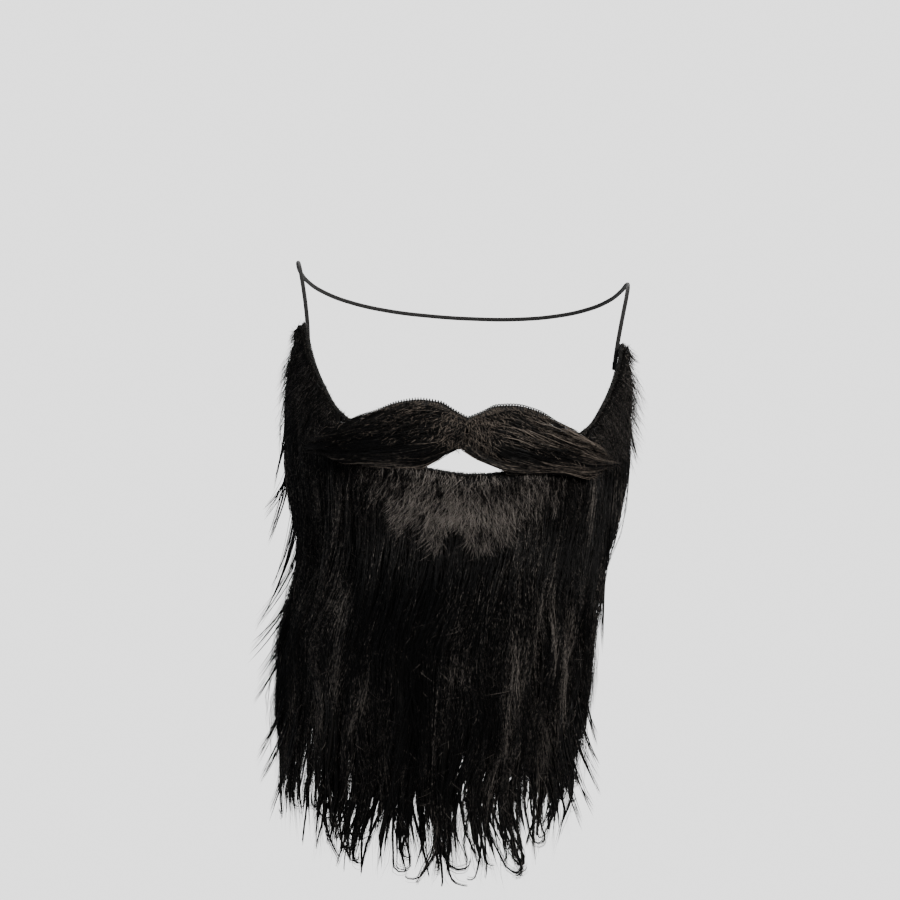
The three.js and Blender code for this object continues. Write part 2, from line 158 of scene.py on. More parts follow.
STRIP_EDGES = Table(
    ("angle", "top", "bottom"),
    (0, NOTCH_RISE, -STRIP_ARCH_DROP),
    (0.041, 0.69 * HUMP_RISE, -1.12 * STRIP_ARCH_DROP),
    (0.085, 0.94 * HUMP_RISE, -0.82 * STRIP_LOW_DROP),
    (0.148, HUMP_RISE, -0.96 * STRIP_LOW_DROP),
    (0.236, 0.85 * HUMP_RISE, -STRIP_LOW_DROP),
    (0.33, 0.48 * HUMP_RISE, -0.93 * STRIP_LOW_DROP),
    (0.413, 0.24 * HUMP_RISE, -0.78 * STRIP_LOW_DROP),
    (STRIP_END, -0.8 * CORNER_RISE, -0.6 * STRIP_LOW_DROP),
)

# Outer surface of the pile: shares of the jaw's half width and depth, of CHIN_PILE and of SWAY
PILE_LEVELS = Table(
    ("height", "half_width", "depth", "front", "sway"),
    (-BEARD_DROP, 0.72, 0.3, 0.42, 1.25),
    (-0.8 * BEARD_DROP, 0.86, 0.44, 0.68, 0.95),
    (-0.65 * BEARD_DROP, 0.935, 0.56, 0.84, 0.75),
    (-0.5 * BEARD_DROP, 0.95, 0.72, 0.96, 0.6),
    (-0.375 * BEARD_DROP, 0.945, 0.88, 1.0, 0.35),
    (-0.97 * CHIN_DROP, 0.955, 1.02, 0.95, 0.15),
    (-0.7 * CHIN_DROP, 0.99, 1.07, 0.75, 0),
    (-0.36 * CHIN_DROP, 1.05, 1.06, 0.4, 0),
    (0, 1.08, 1.04, 0.25, 0),
    (0.5 * SIDEBURN_RISE, 1.1, 1.04, 0.2, 0),
    (SIDEBURN_RISE, 1.1, 1.04, 0.2, 0),
)

# Where the closed mass of pile and the longest tips end, of BEARD_DROP, the hanging pile's
# thickness, of CHIN_PILE, and the sideways lean of the tips, of TIP_LEAN
FALL_ENDS = Table(
    ("angle", "body", "tip", "thickness", "lean"),
    (-1, 0.38, 0.6, 0.34, -0.8),
    (-0.85, 0.58, 0.78, 0.38, -0.95),
    (-0.7, 0.69, 0.88, 0.44, -0.87),
    (-0.5, 0.73, 0.93, 0.5, -0.6),
    (-0.25, 0.75, 0.96, 0.57, -0.2),
    (0, 0.76, 1, 0.6, 0),
    (0.15, 0.76, 1, 0.59, 0.13),
    (0.3, 0.75, 0.965, 0.56, 0.33),
    (0.5, 0.71, 0.885, 0.5, 0.73),
    (0.7, 0.65, 0.81, 0.44, 1),
    (0.85, 0.55, 0.7, 0.38, 0.93),
    (1, 0.36, 0.51, 0.34, 0.6),
)

# A wing of the moustache: middle line as a share of STRIP_LOW_DROP, then of WING_HALF_HEIGHT,
# WING_DEPTH and WING_LIFT
WING_SECTIONS = Table(
    ("along", "angle", "middle", "half_height", "thickness", "lift"),
    (0, 0.0015, -0.11, 0.46, 0.5, 0),
    (0.12, 0.05, -0.09, 0.7, 0.8, 0),
    (0.3, 0.14, -0.11, 1, 1, 0),
    (0.5, 0.245, -0.32, 1.04, 1, 0.1),
    (0.68, 0.35, -0.46, 0.95, 0.95, 0.4),
    (0.85, 0.455, -0.6, 0.8, 0.85, 0.75),
    (1, 0.56, -0.66, 0.42, 0.5, 1),
)

LOWEST_TIP = 206
TIP_EASE = 12  # tips that would reach lower are eased up over this height
FALL_LEVEL = -20.0  # height of the skin that the fall faces away from
WING_FLOOR = 2 * (BACKING_WALL + GAP)  # both cloths, under the moustache
CHIN_REACH = 0.44  # how far round the jaw the short pile with painted sheen reaches

# Wisps that stand away from the beard's sides: signed angle and height of the root, and the tip
WISPS = [
    (-0.97, 8, -83, -28),
    (-0.96, -18, -87, -44),
    (-0.93, -15, -84, -55),
    (-0.9, -38, -82, -80),
    (-0.87, -50, -88, -93),
    (-0.86, -62, -90, -106),
    (-0.84, -84, -87, -128),
    (-0.83, -72, -86, -118),
    (-0.8, -112, -84, -151),
    (-0.74, -120, -82, -163),
    (-0.7, -128, -77, -176),
    (0.97, 26, 85, -8),
    (0.95, 12, 79, -22),
    (0.92, -4, 75.5, -38),
    (0.87, -52, 71, -93),
    (0.82, -78, 64, -118),
    (0.78, -98, 68, -136),
    (0.72, -112, 69, -148),
    (0.69, -116, 70, -157),
    (0.66, -124, 67, -165),
    (0.6, -126, 62, -172),
]


def smoothstep(value, low, high):
    t = np.clip((value - low) / (high - low), 0, 1)
    return t * t * (3 - 2 * t)


def lerp(a, b, share):
    return a + (b - a) * share


def noise(u, v, seed):
    """Smooth random values from -1 to 1 over a plane, about one bump to each unit"""
    lattice = np.random.default_rng(seed).uniform(-1, 1, (64, 64))
    u, v = np.broadcast_arrays(u, v)
    column, row = np.floor(u).astype(int), np.floor(v).astype(int)
    a, b = smoothstep(u - column, 0, 1), smoothstep(v - row, 0, 1)

    def at(i, j):
        return lattice[(column + i) % 64, (row + j) % 64]

    return lerp(lerp(at(0, 0), at(1, 0), a), lerp(at(0, 1), at(1, 1), a), b)


def points(x, y, z):
    return np.stack(np.broadcast_arrays(x, y, z), axis=-1)


def unit(vectors):
    return vectors / np.maximum(np.linalg.norm(vectors, axis=-1, keepdims=True), 1e-9)


def plan(angle, half_width, depth, front):
    """A point on a jaw-shaped plan curve"""
    turn = angle * np.pi / 2
    power = 2 / JAW_SQUARENESS
    side = np.sign(turn) * np.abs(np.sin(turn)) ** power
    back = 1 - np.maximum(np.cos(turn), 0) ** power
    return half_width * side, front + depth * back


def skin(angle, height):
    x, y = plan(
        angle,
        FACE_LEVELS("half_width", height) * EAR_HALF_SPAN,
        JAW_DEPTH,
        FACE_LEVELS("front", height) * JAW_DEPTH,
    )
    return points(x, y, height)


def outward(angle, height):
    step = 0.004
    inside = np.clip(angle, -1 + step, 1 - step)
    along = skin(inside + step, height) - skin(inside - step, height)
    return unit(points(along[..., 1], -along[..., 0], 0 * along[..., 2]))


def fall_outward(angle):
    """The one outward direction that the whole height of the fall takes at an angle"""
    return outward(angle, np.full_like(angle, FALL_LEVEL))


def sideways(out):
    return points(-out[..., 1], out[..., 0], 0 * out[..., 0])


def off_skin(angle, height, distance):
    distance = np.asarray(distance, float)[..., None]
    return skin(angle, height) + outward(angle, height) * distance


def backing_edge(name, angle):
    return BACKING_EDGES(name, np.abs(angle))


def strip_edge(name, angle):
    return STRIP_EDGES(name, np.abs(angle))


def tip_height(angle):
    return -FALL_ENDS("tip", angle) * 1.015 * BEARD_DROP


def pile_top(angle):
    edge = backing_edge("top", angle) - GAP
    below_strip = np.minimum(edge, strip_edge("bottom", angle) - 2 * GAP)
    return np.where(np.abs(angle) > STRIP_END + 0.02, edge, below_strip)


def pile_shell(angle, height):
    x, y = plan(
        angle,
        PILE_LEVELS("half_width", height) * (EAR_HALF_SPAN - SIDE_PILE) + SIDE_PILE,
        PILE_LEVELS("depth", height) * JAW_DEPTH,
        -PILE_LEVELS("front", height) * CHIN_PILE,
    )
    return points(x - PILE_LEVELS("sway", height) * SWAY, y, height)


def pile_inner(angle, height):
    edge = backing_edge("bottom", angle)
    on_backing = off_skin(angle, np.maximum(height, edge), BACKING_WALL)
    on_backing[..., 2] = height
    thickness = (FALL_ENDS("thickness", angle) * CHIN_PILE)[..., None]
    hanging = pile_shell(angle, height) - outward(angle, edge) * thickness
    away = smoothstep(edge - height, 0, FALL_BLEND)[..., None]
    return lerp(on_backing, hanging, away)


def in_pile(angle, height, depth):
    """A point in the pile: depth 0 is its inner surface and 1 its outer one"""
    angle, height, depth = np.broadcast_arrays(angle, height, depth)
    rim = off_skin(angle, height, BACKING_WALL + GAP + PILE_RIM)
    growth = smoothstep(pile_top(angle) - height, 0, RIM_GROWTH)[..., None]
    outer = lerp(rim, pile_shell(angle, height), growth)
    return lerp(pile_inner(angle, height), outer, depth[..., None])


def combed(angle, height, depth):
    """A point in the pile, moved by the waves that neighbouring strands share"""
    angle, height, depth = np.broadcast_arrays(angle, height, depth)
    place = in_pile(angle, height, depth)
    grown = smoothstep(pile_top(angle) - height, 5, 95)
    aside = 6.6 * noise(8 * angle, height / 33, 1) + 3.0 * noise(19 * angle, height / 20, 2)
    ahead = 2.8 * noise(9 * angle, height / 32, 3) + 1.3 * noise(28 * angle, height / 21, 4)
    out = fall_outward(angle)
    return place + sideways(out) * (grown * aside)[..., None] + out * (grown * ahead)[..., None]


def on_wing(side, along, across, depth):
    """A point in a wing of the moustache, from the parting (0) to its end (1)"""
    along, across, depth = np.broadcast_arrays(along, across, depth)
    half = WING_SECTIONS("half_height", along) * WING_HALF_HEIGHT
    height = WING_SECTIONS("middle", along) * STRIP_LOW_DROP + across * half
    angle = side * (WING_SECTIONS("angle", along) + np.maximum(along - 1, 0) * 0.7)
    crown = 1 - np.minimum(np.abs(across), 1) ** 3
    floor = WING_FLOOR + WING_SECTIONS("lift", along) * WING_LIFT
    thickness = WING_SECTIONS("thickness", along) * WING_DEPTH * (0.2 + 0.8 * crown)
    return off_skin(angle, height, floor + depth * thickness)


def add_object(name, data):
    added = bpy.data.objects.new(name, data)
    bpy.context.scene.collection.objects.link(added)
    return added


def add_to_beard(name, data):
    """An object of the beard, attached to its body"""
    piece = add_object(name, data)
    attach(piece, BODY)
    return piece


def ring_quads(rings, sides):
    """Faces round a tube, from ring to ring"""
    k = np.arange(sides)
    step = sides * np.arange(rings - 1)[:, None]
    following = step + (k + 1) % sides
    return np.stack([step + k, following, following + sides, step + k + sides], axis=-1).reshape(-1, 4)


def make_piece(name, corners, faces, material, slot, **values):
    """A mesh object from corners in millimetres and lists of faces, with a number at each corner
    under each name in values, riding on the beard"""
    mesh = bpy.data.meshes.new(name)
    sizes = np.concatenate([np.full(len(group), group.shape[1]) for group in faces])
    loops = np.concatenate([group.ravel() for group in faces])
    mesh.vertices.add(len(corners))
    mesh.vertices.foreach_set("co", (corners * MM).astype(np.float32).ravel())
    mesh.loops.add(len(loops))
    mesh.loops.foreach_set("vertex_index", loops.astype(np.int32))
    mesh.polygons.add(len(sizes))
    starts = np.concatenate([[0], np.cumsum(sizes)[:-1]])
    mesh.polygons.foreach_set("loop_start", starts.astype(np.int32))
    mesh.polygons.foreach_set("use_smooth", np.ones(len(sizes), bool))
    for key, value in values.items():
        layer = mesh.attributes.new(key, "FLOAT", "POINT")
        layer.data.foreach_set("value", np.asarray(value, np.float32).ravel())
    mesh.update(calc_edges=True)
    mesh.validate()
    mesh.materials.append(material)
    return add_to_beard(name, mesh)


def strand_piece(name, paths, radius, tone, material, slot, seed, blunt=0.25, thick=None, flat=1.0):
    """Closed three-sided strands along paths (strand, step, xyz), thinning to a point or as thick
    says, and flattened front to back by flat"""
    rng = np.random.default_rng(seed)
    count, steps, _ = paths.shape
    s = np.linspace(0, 1, steps)[None, :-1]
    tangent = unit(np.gradient(paths, axis=1))[:, :-1]
    reference = unit(rng.normal(size=(count, 1, 3)))
    side = unit(np.cross(tangent, reference))
    other = np.cross(tangent, side)
    if thick is None:
        thick = (1 - s**3) ** blunt * (0.55 + 0.45 * (1 - s))
    else:
        side = unit(np.cross(tangent, unit(paths[:, :1] * [-1, 0, 0] + [0, -60, 0])))
        other = np.cross(tangent, side)
    thick = radius[:, None] * thick[:, :steps - 1]
    rings = []
    for k in range(3):
        turn = 2 * np.pi * k / 3
        offset = side * np.cos(turn) + other * np.sin(turn) * flat
        rings.append(paths[:, :-1] + offset * thick[..., None])
    rings = np.stack(rings, axis=2).reshape(count, -1, 3)
    corners = np.concatenate([rings, paths[:, -1:]], axis=1)
    per_strand = corners.shape[1]
    base = (np.arange(count) * per_strand)[:, None]
    quads = (ring_quads(steps - 1, 3).reshape(1, -1) + base).reshape(-1, 4)
    k = np.arange(3)
    last = 3 * (steps - 2)
    tips = np.stack([last + k, last + (k + 1) % 3, np.full(3, per_strand - 1)], axis=-1)
    tips = (tips.reshape(1, -1) + base).reshape(-1, 3)
    roots = np.array([2, 1, 0]) + base
    tone = tone if tone.ndim == 2 else np.repeat(tone[:, None], steps, axis=1)
    at_corners = np.concatenate([np.repeat(tone[:, :-1], 3, axis=1), tone[:, -1:]], axis=1)
    faces = [quads, np.concatenate([tips, roots])]
    return make_piece(name, corners.reshape(-1, 3), faces, material, slot, tone=at_corners)


def beard_strands(rng, name, paths, thin, thick, tone, material, seed):
    """Loose strands of the beard, each with a radius between thin and thick"""
    radius = rng.uniform(thin, thick, len(paths))
    return strand_piece(name, paths, radius, tone, material, "beard_hair", seed)


def wall_piece(name, place, columns, rows, material, slot, scale=(1, 1)):
    """A closed wall: place(u from -1 to 1, v from 0 to 1, depth 0 inside and 1 outside)"""
    u, v = np.meshgrid(np.linspace(-1, 1, columns + 1), np.linspace(0, 1, rows + 1), indexing="ij")
    layers = [place(u, v, np.full_like(u, depth)).reshape(-1, 3) for depth in (0, 1)]
    size = (columns + 1) * (rows + 1)
    index = np.arange(size).reshape(columns + 1, rows + 1)
    a, b, c, d = index[:-1, :-1], index[1:, :-1], index[1:, 1:], index[:-1, 1:]
    outside = np.stack([a, b, c, d], axis=-1).reshape(-1, 4) + size
    inside = np.stack([a, d, c, b], axis=-1).reshape(-1, 4)
    loop = np.concatenate([index[:-1, 0], index[-1, :-1], index[:0:-1, -1], index[0, :0:-1]])
    following = np.roll(loop, -1)
    rim = np.stack([loop, following, following + size, loop + size], axis=-1)
    corners = np.concatenate(layers)
    along = np.tile((u * scale[0]).ravel(), 2)
    up = np.tile((v * scale[1]).ravel(), 2)
    return make_piece(
        name, corners, [np.concatenate([outside, inside, rim])], material, slot, along=along, up=up)


class Nodes:
    """Short calls for building a procedural material"""

    def __init__(self, name):
        self.material = bpy.data.materials.new(name)
        self.material.use_nodes = True
        self.tree = self.material.node_tree
        self.shader = self.tree.nodes["Principled BSDF"]

    def add(self, kind, **settings):
        node = self.tree.nodes.new("ShaderNode" + kind)
        for key, value in settings.items():
            setattr(node, key, value)
        return node

    def link(self, output, target):
        self.tree.links.new(output, target)

    def set(self, node, **values):
        for key, value in values.items():
            node.inputs[key.replace("_", " ")].default_value = value

    def value(self, name):
        return self.add("Attribute", attribute_name=name).outputs["Fac"]

    def math(self, operation, a, b=0.0, c=0.0):
        node = self.add("Math", operation=operation)
        for socket, value in zip(node.inputs, (a, b, c)):
            if isinstance(value, (int, float)):
                socket.default_value = value
            else:
                self.link(value, socket)
        return node.outputs[0]

    def ramp(self, factor, *stops):
        node = self.add("ValToRGB")
        elements = node.color_ramp.elements
        while len(elements) < len(stops):
            elements.new(0.5)
        for element, (position, color) in zip(elements, stops):
            element.position = position
            element.color = (*color, 1)
        self.link(factor, node.inputs["Fac"])
        return node.outputs["Color"]

    def noise(self, scale, detail, roughness=0.5):
        """Noise over the object, with its own scale along each axis"""
        scaled = self.add("Mapping")
        scaled.inputs["Scale"].default_value = scale
        self.link(self.add("TexCoord").outputs["Object"], scaled.inputs["Vector"])
        texture = self.add("TexNoise")
        self.set(texture, Scale=1.0, Detail=detail, Roughness=roughness)
        self.link(scaled.outputs["Vector"], texture.inputs["Vector"])
        return texture.outputs["Fac"]

    def paint(self, color, **values):
        """The shader's colour from another node, and its other values"""
        self.link(color, self.shader.inputs["Base Color"])
        self.set(self.shader, **values)
        return self.material

    def bump(self, height, strength, distance):
        node = self.add("Bump")
        node.inputs["Strength"].default_value = strength
        node.inputs["Distance"].default_value = distance
        self.link(height, node.inputs["Height"])
        self.link(node.outputs["Normal"], self.shader.inputs["Normal"])


def hair_material(name, dark, middle, light, roughness, grain=(2300, 2300, 520), glints=2.3):
    """Black synthetic fibre whose tone changes from strand to strand and, in glints, along it"""
    m = Nodes(name)
    streak = m.noise((700, 700, 60), 2.0, 0.6)
    glint = m.noise(grain, 1.0)
    varied = m.math("MULTIPLY_ADD", streak, 0.35, m.value("tone"))
    varied = m.math("MULTIPLY_ADD", m.math("SUBTRACT", glint, 0.5), glints, varied)
    tones = m.ramp(varied, (0.24, dark), (0.54, middle), (1.0, light))
    return m.paint(tones, Roughness=roughness, Specular_IOR_Level=0.25)


def mass_material():
    """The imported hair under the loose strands: fine streaks down the fall"""
    m = Nodes("packed_hair")
    streak = m.noise((900, 900, 45), 3.0, 0.65)
    m.bump(streak, 0.9, 0.0006)
    dark, light = (0.0012, 0.0011, 0.0011), (0.006, 0.0052, 0.0046)
    tones = m.ramp(streak, (0.35, dark), (0.75, light))
    return m.paint(tones, Roughness=0.65, Specular_IOR_Level=0.15)


KNIT_PITCH = (1.3, 1.0)  # width and height of a stitch


def knit_material():
    """Black tricot: rows of V stitches, in millimetres along and up the cloth"""
    m = Nodes("knit_cloth")
    along = m.math("DIVIDE", m.value("along"), KNIT_PITCH[0])
    up = m.math("DIVIDE", m.value("up"), KNIT_PITCH[1])
    slant = m.math("PINGPONG", along, 0.5)
    rows = m.math("SINE", m.math("MULTIPLY", m.math("ADD", up, slant), 2 * math.pi))
    columns = m.math("ABSOLUTE", m.math("SINE", m.math("MULTIPLY", along, math.pi)))
    stitches = m.math("ADD", m.math("MULTIPLY", rows, 0.5), columns)
    height = m.math("ADD", stitches, m.math("MULTIPLY", m.noise((900, 900, 900), 3.0, 0.6), 0.8))
    m.bump(height, 0.8, 0.0003)
    dark, light = (0.006, 0.0055, 0.005), (0.03, 0.027, 0.024)
    tones = m.ramp(m.math("MULTIPLY", height, 0.4), (0.0, dark), (0.9, light))
    return m.paint(tones, Roughness=0.9, Sheen_Weight=0.25, Sheen_Roughness=0.5)


def thread_material(name, dark, light):
    m = Nodes(name)
    fibre = m.noise((2500, 2500, 2500), 2.0)
    m.bump(fibre, 0.5, 0.0001)
    return m.paint(m.ramp(fibre, (0.3, dark), (0.7, light)), Roughness=0.6)


def elastic_material():
    """A round elastic's cover: fine diagonal braid along the cord"""
    m = Nodes("covered_elastic")
    split = m.add("SeparateXYZ")
    m.link(m.add("TexCoord").outputs["UV"], split.inputs[0])
    length = m.math("MULTIPLY", split.outputs[0], 2 * math.pi * 330)
    turn = m.math("MULTIPLY", split.outputs[1], 2 * math.pi * 4)
    one = m.math("SINE", m.math("ADD", length, turn))
    two = m.math("SINE", m.math("SUBTRACT", length, turn))
    braid = m.math("MAXIMUM", one, two)
    m.bump(braid, 0.7, 0.00015)
    dark, light = (0.006, 0.006, 0.006), (0.028, 0.026, 0.025)
    return m.paint(m.ramp(braid, (0.0, dark), (1.0, light)), Roughness=0.75, Sheen_Weight=0.2)


def add_camera():
    """The photograph's view: the origin at its pixel, at the photograph's scale"""
    away = Vector((
        math.sin(VIEW_AZIMUTH) * math.cos(VIEW_ELEVATION),
        -math.cos(VIEW_AZIMUTH) * math.cos(VIEW_ELEVATION),
        math.sin(VIEW_ELEVATION),
    ))
    right = Vector((math.cos(VIEW_AZIMUTH), math.sin(VIEW_AZIMUTH), 0))
    up = away.cross(right)
    across = right * math.cos(VIEW_ROLL) + up * math.sin(VIEW_ROLL)
    above = up * math.cos(VIEW_ROLL) - right * math.sin(VIEW_ROLL)
    middle = PICTURE_PIXELS / 2
    offset = across * (middle - ORIGIN_PIXEL[0]) + above * (ORIGIN_PIXEL[1] - middle)
    camera = add_object("camera", bpy.data.cameras.new("camera"))
    turned = Matrix((across, above, away)).transposed().to_4x4()
    camera.matrix_world = Matrix.Translation(away * VIEW_DISTANCE + offset * PIXEL_SIZE) @ turned
    camera.data.sensor_width = SENSOR_WIDTH
    camera.data.lens = SENSOR_WIDTH * VIEW_DISTANCE / (PICTURE_PIXELS * PIXEL_SIZE)
    bpy.context.scene.camera = camera


def add_elastic():
    """The elastic in one curve, from inside one sideburn round the head to the other"""
    half = [Vector(point) for point in ELASTIC_ROUTE]
    route = half + [Vector((-p.x, p.y, p.z)) for p in reversed(half)]
    data = bpy.data.curves.new("elastic", "CURVE")
    data.dimensions = "3D"
    data.bevel_depth = ELASTIC_DIAMETER / 2
    data.bevel_resolution = 4
    data.resolution_u = 12
    data.use_fill_caps = True
    spline = data.splines.new("BEZIER")
    spline.bezier_points.add(len(route) - 1)
    for knot, point in zip(spline.bezier_points, route):
        knot.co = point
        knot.handle_left_type = knot.handle_right_type = "AUTO"
    data.materials.append(elastic_material())
    elastic = add_to_beard("elastic", data)
    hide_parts("elastic_cord")


CLOTH_INSET = 0.02  # the finished cloth lies this far inside the solid's faces


def backing_place(u, v, depth):
    bottom = backing_edge("bottom", u)
    top = backing_edge("top", u)
    hem = 1 - 0.25 * (1 - smoothstep(np.minimum(v, 1 - v) * (top - bottom), 0, 1.2))
    middle = BACKING_WALL / 2
    thick = (BACKING_WALL / 2 - CLOTH_INSET) * hem
    return off_skin(u, lerp(bottom, top, v), middle + (2 * depth - 1) * thick)


def strip_place(u, v, depth):
    angle = u * STRIP_END
    bottom = strip_edge("bottom", angle)
    top = strip_edge("top", angle)
    lap = smoothstep(np.abs(angle), *LAP_ANGLES) * (BACKING_WALL + GAP)
    thick = BACKING_WALL / 2 - CLOTH_INSET
    return off_skin(angle, lerp(bottom, top, v), lap + BACKING_WALL / 2 + (2 * depth - 1) * thick)


def arc_length(line):
    return np.linalg.norm(np.diff(line, axis=0), axis=1).sum()


STITCH_PITCH = 1.3
THREAD_RADIUS = 0.2


def tube_piece(name, lines, radius, material, slot, sides=4):
    """Round closed tubes along lines of points in millimetres"""
    corners, quads, caps = [], [], []
    start = 0
    for line in lines:
        count = len(line)
        tangent = unit(np.gradient(line, axis=0))
        side = unit(np.cross(tangent, np.array([0.31, 0.52, 0.79])))
        other = np.cross(tangent, side)
        turn = 2 * np.pi * np.arange(sides) / sides
        ring = side[:, None] * np.cos(turn)[:, None] + other[:, None] * np.sin(turn)[:, None]
        corners.append((line[:, None] + ring * radius).reshape(-1, 3))
        quads.append(start + ring_quads(count, sides))
        k = np.arange(sides)
        caps.append(start + k[::-1])
        caps.append(start + sides * (count - 1) + k)
        start += sides * count
    return make_piece(
        name, np.concatenate(corners), [np.concatenate(quads), np.array(caps)], material, slot)


def overlock(edge, inward, out, proud, reach=1.6):
    """Thread looped over a cloth edge: edge line, way down the cloth and way out of it"""
    steps = np.concatenate([[0], np.cumsum(np.linalg.norm(np.diff(edge, axis=0), axis=1))])
    loops = int(steps[-1] / STITCH_PITCH)
    t = np.linspace(0, 1, loops * 7)

    def at_loops(rows):
        return np.stack([np.interp(t * steps[-1], steps, rows[:, i]) for i in range(3)], axis=-1)

    turn = 2 * np.pi * loops * t
    rise = reach * (0.5 - 0.5 * np.cos(turn)) - proud
    bulge = (BACKING_WALL / 2 + 0.3) * np.sin(turn)
    return at_loops(edge) + at_loops(inward) * rise[:, None] + at_loops(out) * bulge[:, None]


def edge_stitches(name, place, columns, v, reach, material, proud=0.25, radius=THREAD_RADIUS):
    """Overlock stitches along the upper (v 1) or lower (v 0) edge of a cloth"""
    u = np.linspace(-reach, reach, columns)
    edge = place(u, np.full_like(u, v), np.full_like(u, 0.5))
    inner = place(u, np.full_like(u, abs(v - 0.05)), np.full_like(u, 0.5))
    out = unit(place(u, np.full_like(u, v), np.full_like(u, 1.0)) - edge)
    loops = overlock(edge, unit(inner - edge), out, proud)
    return tube_piece(name, [loops], radius, material, "knit")


def bar_tacks(material):
    """Close zigzag stitches that hold the elastic's ends inside the sideburns"""
    lines = []
    for side in (1, -1):
        end = np.array(ELASTIC_ROUTE[0]) / MM
        middle = np.array([side * (end[0] + 0.2), end[1] + 0.1, end[2] + 2.0])
        t = np.linspace(0, 1, 90)
        swing = 1.3 * np.sin(2 * np.pi * 9 * t)
        rise = 3.2 * (t - 0.5)
        out = outward(np.array(side * 0.9), np.array(30.0))
        bulge = np.maximum(1.15 - 0.3 * swing**2, 0.3)
        line = middle - out * bulge[:, None] + sideways(out) * swing[:, None]
        lines.append(line + points(0, 0, rise))
    return tube_piece("elastic_bar_tacks", lines, THREAD_RADIUS, material, "knit")


def add_cloth():
    """Both cloths with the thread over their edges, and the flat size that each was cut to"""
    knit = knit_material()
    thread = thread_material("dark_thread", (0.003, 0.003, 0.003), (0.012, 0.011, 0.01))
    pale_thread = thread_material("overlock_thread", (0.004, 0.0036, 0.0033), (0.018, 0.016, 0.014))
    turn = np.linspace(-1, 1, 200)

    def wall(name, place, columns, rows, top, bottom):
        width = arc_length(place(turn, 0 * turn + 0.5, 0 * turn + 0.5))
        drop = (top - bottom).mean()
        cloth = wall_piece(name, place, columns, rows, knit, "knit", scale=(width / 2, drop))
        flat = (width * MM, (top.max() - bottom.min()) * MM)
        return cloth, flat, width * drop * MM * MM

    backing, flat, area = wall(
        "knit_backing", backing_place, 200, 30, backing_edge("top", turn), backing_edge("bottom", turn))
    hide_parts("beard_backing")
    sewn = [
        edge_stitches("backing_top_stitches", backing_place, 500, 1.0, 0.999, thread),
        edge_stitches("backing_bottom_stitches", backing_place, 500, 0.0, 0.999, thread),
        bar_tacks(thread),
    ]

    angle = turn * STRIP_END
    strip, flat, area = wall(
        "knit_moustache_strip", strip_place, 120, 12, strip_edge("top", angle),
        strip_edge("bottom", angle))
    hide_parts("moustache_backing")
    sewn = [edge_stitches(
        "moustache_edge_stitches", strip_place, 300, 1.0, 1, pale_thread, 0.75, 1.4 * THREAD_RADIUS)]


def fall_paths(angle, root, tip, layer, drift, s, emerge=18.0):
    """Plain paths down the pile, out of the cloth to a layer and down to the tips"""
    height = lerp(root[:, None], tip[:, None], s)
    fallen = root[:, None] - height
    depth = layer[:, None] * smoothstep(fallen, -0.25 * emerge, emerge)
    return combed(angle[:, None] + drift[:, None] * s**1.5, height, depth)


def waves(rng, s, length, size, wave_length):
    """Sideways and outward swings that grow down each strand, (strand, step, 2)"""
    count = len(length)
    swing = []
    for share in (1.0, 0.6):
        phase = rng.uniform(0, 2 * np.pi, (count, 1))
        turns = length[:, None] / (wave_length * rng.uniform(0.7, 1.4, (count, 1)))
        strength = size * share * rng.uniform(0.3, 1.2, (count, 1))
        swing.append(strength * s * (np.sin(phase + 2 * np.pi * turns * s) - np.sin(phase)))
    return np.stack(swing, axis=-1)


def swung(paths, angle, swing):
    """Paths moved sideways and outward by a swing"""
    out = fall_outward(angle)[:, None]
    return paths + sideways(out) * swing[..., :1] + out * swing[..., 1:]


def not_too_low(paths):
    """Paths whose lowest ends are drawn up to just above LOWEST_TIP"""
    past = np.maximum(TIP_EASE - LOWEST_TIP - paths[..., 2], 0)
    paths[..., 2] += past - TIP_EASE * (1 - np.exp(-past / TIP_EASE))
    return paths


